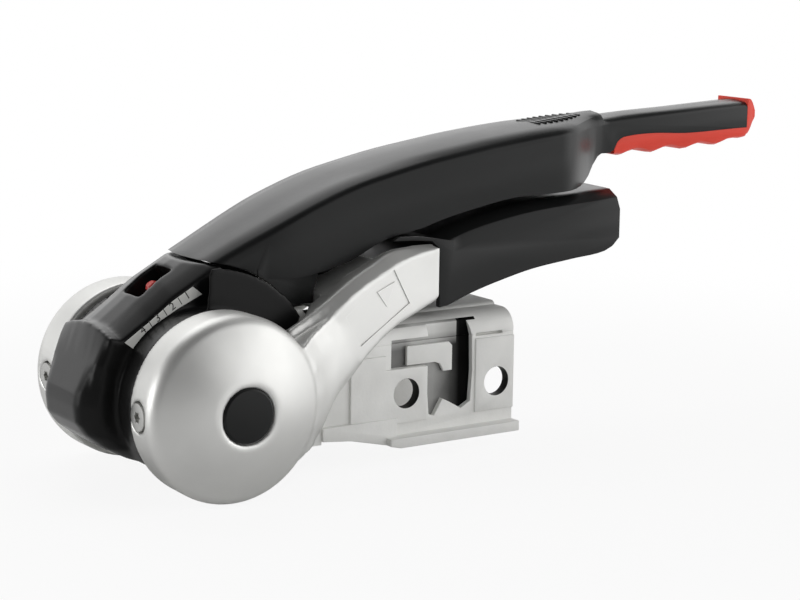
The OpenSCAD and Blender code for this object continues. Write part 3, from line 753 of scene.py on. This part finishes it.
@once
def red_grip():
    base = tuple(colours().grip)
    return finish("red_grip", base, toned(base, 0.9), rough=(0.42, 0.55), fine=1300.0, patches=30.0,
                  bump=0.12, depth=0.15, wear=0.3)


@once
def red_plastic():
    base = tuple(colours().button)
    return finish("red_plastic", base, toned(base, 0.9), rough=(0.3, 0.4), bump=0.05, wear=0.2, radius=0.3)


@once
def white_label():
    base = tuple(colours().label)
    return finish("white_label", base, toned(base, 0.95), rough=(0.35, 0.45), bump=0.05, wear=0.2, radius=0.3,
                  coat=0.3)


@once
def label_ink():
    base = tuple(colours().ink)
    return finish("label_ink", base, toned(base, 1.5), rough=(0.5, 0.6), bump=0.05, wear=0.0, radius=0.2)


# Operators, one for each piece or group of like pieces

class CouplingOperator:
    bl_options = {"REGISTER", "UNDO"}


class COUPLING_OT_castings(CouplingOperator, Operator):
    """Rounds the edges of the cast housing and its tongues"""
    bl_idname = "coupling.castings"
    bl_label = "Castings"

    def execute(self, context):
        edge = sizes().casting_edge
        rounded_copy("coupling_housing", "housing_casting", "housing", zinc_casting(), edge)
        rounded_copy("socket_sides", "socket_side_walls", "housing", zinc_casting(), edge)
        rounded_copy("socket_saddle", "socket_saddle_top", "housing", zinc_casting(), edge)
        rounded_copy("socket_tongues", "socket_tongue_bars", "housing", zinc_casting(),
                     sizes().small_edge)
        return {"FINISHED"}


def dome_profile():
    """Section of a hollow dome: rim, band, round shoulder, bulging face, seat of the plug, hub."""
    radius, shoulder = sizes().dome_radius / MM, sizes().dome_shoulder / MM
    middle = radius - shoulder
    profile = [(DOME_HOLLOW, DOME_RIM), (radius - RIM_INSET - RIM_CHAMFER, DOME_RIM),
               (radius - RIM_INSET, DOME_RIM + RIM_CHAMFER)]
    reach = radians(90.0 - DOME_FACE_LEAN)
    for step in range(SHOULDER_STEPS + 1):
        angle = reach * step / SHOULDER_STEPS
        profile.append((middle + shoulder * cos(angle), DOME_BAND_END + shoulder * sin(angle)))
    start_r, start_y = profile[-1]
    for step in range(1, FACE_STEPS + 1):
        share = step / FACE_STEPS
        profile.append((start_r + (DOME_FLAT - start_r) * share,
                        start_y + (DOME_END - start_y) * share + DOME_BULGE * share * (1 - share)))
    return profile + [(PLUG_RADIUS + DOME_CHAMFER, DOME_END), (PLUG_RADIUS, DOME_END - DOME_CHAMFER),
                      (PLUG_RADIUS, DOME_END - PLUG_DEPTH), (STEM_HOLE, DOME_END - PLUG_DEPTH),
                      (STEM_HOLE, HUB_START), (HUB_RADIUS, HUB_START), (HUB_RADIUS, HOLLOW_END),
                      (DOME_HOLLOW, HOLLOW_END)]


def arm_side(x):
    """Distance of the arm's outside from the middle, at one x."""
    for (x0, y0), (x1, y1) in zip(ARM_SIDE, ARM_SIDE[1:]):
        if x <= x1:
            return y0 + (y1 - y0) * (x - x0) / (x1 - x0)
    return ARM_SIDE[-1][1]


def on_arm_root(centre, normal):
    """True on the side of the arm near the dome, below the crease along its top."""
    x, y, z = centre / MM
    crease = CREASE_START[1] + (x - CREASE_START[0]) * CREASE_SLOPE
    return ROOT_SPAN[0] < x < ROOT_SPAN[1] and abs(y) > ROOT_OUTSIDE and z < crease


class COUPLING_OT_fork(CouplingOperator, Operator):
    """Turns the two domes, lets them flow into the arms and lets the panels into the arms"""
    bl_idname = "coupling.fork"
    bl_label = "Domed fork"

    def execute(self, context):
        dome = turned("dome", dome_profile())
        cut(dome, bar_along_x(SCREW_SEAT_AT, -SCREW_OFFSET, SCREW_SEAT_RADIUS, SCREW_SEAT_LENGTH))
        root = bridged("arm_root", ARM_ROOT, ARM_ROOT_DEPTH)
        piece = joined(solid_copy("stabiliser_fork"), dome, mirrored(dome), root, mirrored(root))
        remeshed(piece, sizes().fork_cell, 0.5, 4)
        edit(piece)
        pick_faces(piece, on_arm_root)
        bpy.ops.mesh.vertices_smooth(factor=0.5, repeat=ROOT_PASSES)
        leave_edit()
        depth = sizes().panel_depth / MM
        panel = slab("panel", [(x, depth - arm_side(x), z) for x, z in ARM_PANEL], PANEL_REACH)
        arrow = slab("arrow", [(x, depth + ARROW_MARGIN - arm_side(x), z) for x, z in ARM_ARROW], PANEL_REACH)
        cut(panel, arrow)
        far_panel = mirrored(panel)
        cut(piece, panel)
        cut(piece, far_panel)
        smooth(piece, 60)
        own(piece, "domed_fork", "stabiliser", silver_casting())
        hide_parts("stabiliser_fork")
        return {"FINISHED"}


class COUPLING_OT_bumper(CouplingOperator, Operator):
    """Softens the rubber bumper into one smooth moulding"""
    bl_idname = "coupling.bumper"
    bl_label = "Rubber bumper"

    def execute(self, context):
        piece = solid_copy("soft_dock")
        cut(piece, slab("corner", [(x, GUARD_FROM, z) for x, z in GUARD_CORNER], GUARD_CUT))
        remeshed(piece, sizes().rubber_cell, 0.6, 10)
        smooth(piece, 60)
        own(piece, "rubber_bumper", "housing", bumper_rubber())
        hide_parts("soft_dock")
        return {"FINISHED"}


class COUPLING_OT_mouldings(CouplingOperator, Operator):
    """Rounds the edges of the handle, the grip and the cover"""
    bl_idname = "coupling.mouldings"
    bl_label = "Plastic mouldings"

    def execute(self, context):
        edge = sizes().plastic_edge
        rounded_copy("handle_shell", "handle_moulding", "stabiliser", black_plastic(), edge)
        rounded_copy("soft_grip", "grip_moulding", "stabiliser", red_grip(), edge)
        rounded_copy("lever_cover", "cover_moulding", "lever", black_plastic(), edge)
        rounded_copy("hub_plugs", "dome_plugs", "stabiliser", black_plastic(),
                     sizes().small_edge)
        return {"FINISHED"}


def rib(x):
    """One rib across the top of the handle, with rounded edges; ribs are shorter towards both ends."""
    half = RIBS_HALF - RIBS_TAPER * (x - RIBS_MIDDLE) ** 2
    height = RIBS_HEIGHT + (x - RIBS_FROM) * RIBS_SLOPE
    deselect()
    bpy.ops.mesh.primitive_cube_add(size=1.0, location=(x * MM, 0.0, height * MM),
                                    scale=(RIB_WIDTH * MM, 2 * half * MM, 2 * sizes().rib_rise))
    piece = bpy.context.object
    edit_all(piece)
    bpy.ops.mesh.bevel(offset=RIB_ROUNDING * MM, segments=BEVEL_SEGMENTS, affect="EDGES", clamp_overlap=True)
    leave_edit()
    settle(piece)
    return piece


class COUPLING_OT_thumb_rest(CouplingOperator, Operator):
    """Sets the ribs of the thumb rest across the top of the handle"""
    bl_idname = "coupling.thumb_rest"
    bl_label = "Thumb rest"

    def execute(self, context):
        places = [RIBS_FROM + index * sizes().rib_pitch / MM for index in range(sizes().rib_count)]
        piece = joined(*[rib(x) for x in places])
        smooth(piece, 40)
        own(piece, "thumb_rest_ribs", "stabiliser", black_plastic())
        return {"FINISHED"}


def numeral(text, x, z, side):
    """A flat numeral on the outside of a wear scale, upright along its strip."""
    deselect()
    bpy.ops.object.text_add(location=(0.0, 0.0, 0.0))
    mark = bpy.context.object
    mark.data.body = text
    mark.data.size = MARK_SIZE * MM
    mark.data.extrude = MARK_THICKNESS / 2 * MM
    mark.data.align_x = "CENTER"
    mark.data.align_y = "CENTER"
    bpy.ops.object.convert(target="MESH")
    mark = bpy.context.object
    slope = Matrix.Rotation(radians(-SCALE_SLOPE), 4, "Y")
    about = Matrix.Rotation(pi if side > 0 else 0.0, 4, "Z")
    upright = Matrix.Rotation(pi / 2, 4, "X")
    place = Vector((x, side * (SCALE_FACE + MARK_THICKNESS / 2), z)) * MM
    mark.matrix_world = Matrix.Translation(place) @ slope @ about @ upright
    settle(mark)
    return mark


def scale_line(x, z, side):
    """A thin line across the strip of a wear scale."""
    strip = Vector((cos(radians(SCALE_SLOPE)), 0.0, sin(radians(SCALE_SLOPE))))
    across = Vector((-strip.z, 0.0, strip.x))
    middle = Vector((x, side * SCALE_FACE - MARK_THICKNESS / 2, z))
    wide, long = strip * LINE_HALF_WIDTH, across * LINE_HALF_LENGTH
    corners = [middle - wide - long, middle + wide - long, middle + wide + long, middle - wide + long]
    return slab("line", corners, MARK_THICKNESS)


class COUPLING_OT_scale_marks(CouplingOperator, Operator):
    """Prints the numerals and the lines between them on the two wear scales"""
    bl_idname = "coupling.scale_marks"
    bl_label = "Wear scale marks"

    def execute(self, context):
        for side, name in ((-1, "scale_marks_right"), (1, "scale_marks_left")):
            marks = [numeral(text, x, z, side) for text, x, z in SCALE_MARKS]
            for (_, x0, z0), (_, x1, z1) in zip(SCALE_MARKS, SCALE_MARKS[1:]):
                marks.append(scale_line((x0 + x1) / 2, (z0 + z1) / 2, side))
            piece = joined(*marks)
            edit(piece)
            merge_doubles(MARK_MERGE)
            bpy.ops.mesh.normals_make_consistent(inside=False)
            leave_edit()
            own(piece, name, "housing", label_ink())
        return {"FINISHED"}


class COUPLING_OT_steel(CouplingOperator, Operator):
    """Breaks the edges of the lever and the clamp"""
    bl_idname = "coupling.steel"
    bl_label = "Steel pieces"

    def execute(self, context):
        edge = sizes().small_edge
        rounded_copy("coupling_lever", "lever_plates", "lever", black_steel(), edge)
        rounded_copy("ball_clamp", "clamp_jaw", "clamp", black_steel(), edge)
        return {"FINISHED"}


def rim_screw(offset):
    """A flat screw with a chamfered head and a star socket."""
    screw = bar_along_x(SCREW_AT, offset, SCREW_RADIUS, SCREW_LENGTH)
    settle(screw)
    edit(screw)
    pick_faces(screw, lambda centre, normal: normal.x < -0.9)
    bpy.ops.mesh.inset(thickness=SCREW_CHAMFER * MM)
    bpy.ops.transform.translate(value=(-SCREW_CROWN * MM, 0.0, 0.0))
    leave_edit()
    star = bar_along_x(STAR_AT, offset, STAR_RADIUS, STAR_LENGTH, 2 * STAR_POINTS)
    settle(star)
    edit(star, "VERT")
    # A cylinder's points go round it in pairs, one at each end
    pick_points(star, lambda index: (index // 2) % 2 == 1)
    bpy.ops.transform.resize(value=(1.0, STAR_WAIST, STAR_WAIST), center_override=(0.0, offset * MM, 0.0))
    leave_edit()
    cut(screw, star)
    return screw


class COUPLING_OT_rim_screws(CouplingOperator, Operator):
    """Turns the flat screws in the rims of the domes, with a star socket in each"""
    bl_idname = "coupling.rim_screws"
    bl_label = "Rim screws"

    def execute(self, context):
        piece = joined(rim_screw(-SCREW_OFFSET), rim_screw(SCREW_OFFSET))
        smooth(piece, 30)
        own(piece, "dome_rim_screws", "stabiliser", bright_steel())
        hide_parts("rim_screws")
        return {"FINISHED"}


class COUPLING_OT_finishes(CouplingOperator, Operator):
    """Gives the solids that stay as they are their materials"""
    bl_idname = "coupling.finishes"
    bl_label = "Finishes"

    def execute(self, context):
        makers = {"zinc_casting": zinc_casting, "silver_casting": silver_casting,
                  "bright_steel": bright_steel, "black_steel": black_steel, "bronze": bronze,
                  "friction_lining": friction_lining, "bumper_rubber": bumper_rubber,
                  "black_plastic": black_plastic, "red_grip": red_grip, "red_plastic": red_plastic,
                  "white_label": white_label}
        for part in frame["record"]["subparts"]:
            node = frame["nodes"][part["node"]]
            node.data.materials.clear()
            node.data.materials.append(makers[part["material_slot"]]())
        return {"FINISHED"}


def floor_material():
    """Pale floor that keeps the shadow near the object and fades to plain white further out."""
    material = bpy.data.materials.new("pale_floor")
    material.use_nodes = True
    tree = material.node_tree
    shader = tree.nodes["Principled BSDF"]
    feed(shader.inputs["Base Color"], (*colours().floor, 1.0))
    feed(shader.inputs["Roughness"], 0.8)
    white = add(tree, "ShaderNodeEmission")
    place = place_of(tree)
    distance = along(tree, place, SHADOW_MIDDLE, "DISTANCE")
    far = ranged(tree, distance, 0.2, 0.6, 0.9, 1.0, "SMOOTHSTEP")
    lit = ranged(tree, along(tree, place, LIT_FLOOR_SIDE), 0.1, 0.35, curve="SMOOTHSTEP")
    rays = add(tree, "ShaderNodeLightPath").outputs
    bright = total_of(tree, product(tree, rays["Is Camera Ray"], far),
                      product(tree, rays["Is Glossy Ray"], lit))
    feed(tree.nodes["Material Output"].inputs["Surface"],
         blended(tree, bright, shader.outputs["BSDF"], white.outputs["Emission"]))
    return material


def surroundings():
    """Plain white for the camera, a white backdrop for reflections and a dim room for the light."""
    world = bpy.data.worlds.new("studio")
    bpy.context.scene.world = world
    world.use_nodes = True
    tree = world.node_tree
    room = tree.nodes["Background"]
    feed(room.inputs["Color"], ROOM_COLOUR)
    feed(room.inputs["Strength"], ROOM_STRENGTH)
    place = add(tree, "ShaderNodeTexCoord").outputs["Generated"]
    height = add(tree, "ShaderNodeSeparateXYZ", {"Vector": place}).outputs["Z"]
    behind = ranged(tree, along(tree, place, BACKDROP_SIDE), -0.35, 0.15, 0.10, 1.0, "SMOOTHSTEP")
    ceiling = ranged(tree, height, 0.45, 0.75, 1.0, 0.15, "SMOOTHSTEP")
    rays = add(tree, "ShaderNodeLightPath").outputs
    backdrop = add(tree, "ShaderNodeBackground", {
        "Color": total_of(tree, rays["Is Camera Ray"], product(tree, behind, ceiling))})
    seen = total_of(tree, rays["Is Camera Ray"], rays["Is Glossy Ray"], rays["Is Transmission Ray"])
    feed(tree.nodes["World Output"].inputs["Surface"],
         blended(tree, seen, room.outputs["Background"], backdrop.outputs["Background"]))
    bpy.context.scene.view_settings.view_transform = "Standard"


def camera_of_photo():
    """Stands the camera where the photograph was taken from."""
    turn, rise, roll = radians(CAMERA_TURN), radians(CAMERA_RISE), radians(CAMERA_ROLL)
    back = Vector((sin(turn) * cos(rise), -cos(turn) * cos(rise), sin(rise)))
    right = Vector((cos(turn), sin(turn), 0.0))
    up = back.cross(right)
    side = right * cos(roll) + up * sin(roll)
    top = up * cos(roll) - right * sin(roll)
    bpy.ops.object.camera_add(location=Vector(CAMERA_AIM) * MM + back * (CAMERA_DISTANCE * MM))
    camera = bpy.context.object
    camera.name = "photo_camera"
    camera.rotation_euler = Matrix((side, top, back)).transposed().to_euler()
    camera.data.sensor_width = SENSOR_WIDTH
    camera.data.lens = SENSOR_WIDTH * FOCAL_PIXELS / PHOTO_WIDTH
    camera.data.clip_end = 20.0
    bpy.context.scene.camera = camera


class COUPLING_OT_stage(CouplingOperator, Operator):
    """Adds the floor, the lamps, the white surroundings and the camera"""
    bl_idname = "coupling.stage"
    bl_label = "Stage"

    def execute(self, context):
        lowest = cad_box[0][2]
        bpy.ops.mesh.primitive_plane_add(size=FLOOR_SIZE, location=(FLOOR_X, 0.0, lowest - FLOOR_GAP))
        floor = bpy.context.object
        settle(floor)
        floor.name = "floor"
        floor.data.materials.append(floor_material())
        for name, place, width, height, glow in LAMPS:
            bpy.ops.object.light_add(type="AREA", location=place)
            lamp = bpy.context.object
            lamp.name = name
            lamp.data.shape = "RECTANGLE"
            lamp.data.size = width
            lamp.data.size_y = height
            lamp.data.energy = glow * pi * width * height
            lamp.rotation_euler = (Vector(place) - Vector(LAMPS_AIM)).to_track_quat("Z", "Y").to_euler()
        surroundings()
        camera_of_photo()
        return {"FINISHED"}


class COUPLING_PT_panel(Panel):
    """Lists the values and the pieces"""
    bl_label = "Coupling head"
    bl_idname = "COUPLING_PT_panel"
    bl_space_type = "VIEW_3D"
    bl_region_type = "UI"
    bl_category = "Coupling"

    def draw(self, context):
        layout = self.layout
        for group in (context.scene.coupling_sizes, context.scene.coupling_colours):
            for key in group.__annotations__:
                layout.prop(group, key)
        for step in STEPS:
            layout.operator(step.bl_idname)


STEPS = (COUPLING_OT_castings, COUPLING_OT_fork, COUPLING_OT_bumper, COUPLING_OT_mouldings,
         COUPLING_OT_thumb_rest, COUPLING_OT_scale_marks, COUPLING_OT_steel, COUPLING_OT_rim_screws,
         COUPLING_OT_finishes, COUPLING_OT_stage)
CLASSES = (CouplingSizes, CouplingColours, *STEPS, COUPLING_PT_panel)


def register():
    for kind in CLASSES:
        bpy.utils.register_class(kind)
    bpy.types.Scene.coupling_sizes = PointerProperty(type=CouplingSizes)
    bpy.types.Scene.coupling_colours = PointerProperty(type=CouplingColours)


def unregister():
    del bpy.types.Scene.coupling_colours
    del bpy.types.Scene.coupling_sizes
    for kind in reversed(CLASSES):
        bpy.utils.unregister_class(kind)


def main():
    register()
    bpy.ops.coupling.castings()
    bpy.ops.coupling.fork()
    bpy.ops.coupling.bumper()
    bpy.ops.coupling.mouldings()
    bpy.ops.coupling.thumb_rest()
    bpy.ops.coupling.scale_marks()
    bpy.ops.coupling.steel()
    bpy.ops.coupling.rim_screws()
    bpy.ops.coupling.finishes()
    bpy.ops.coupling.stage()


if __name__ == "__main__":
    main()
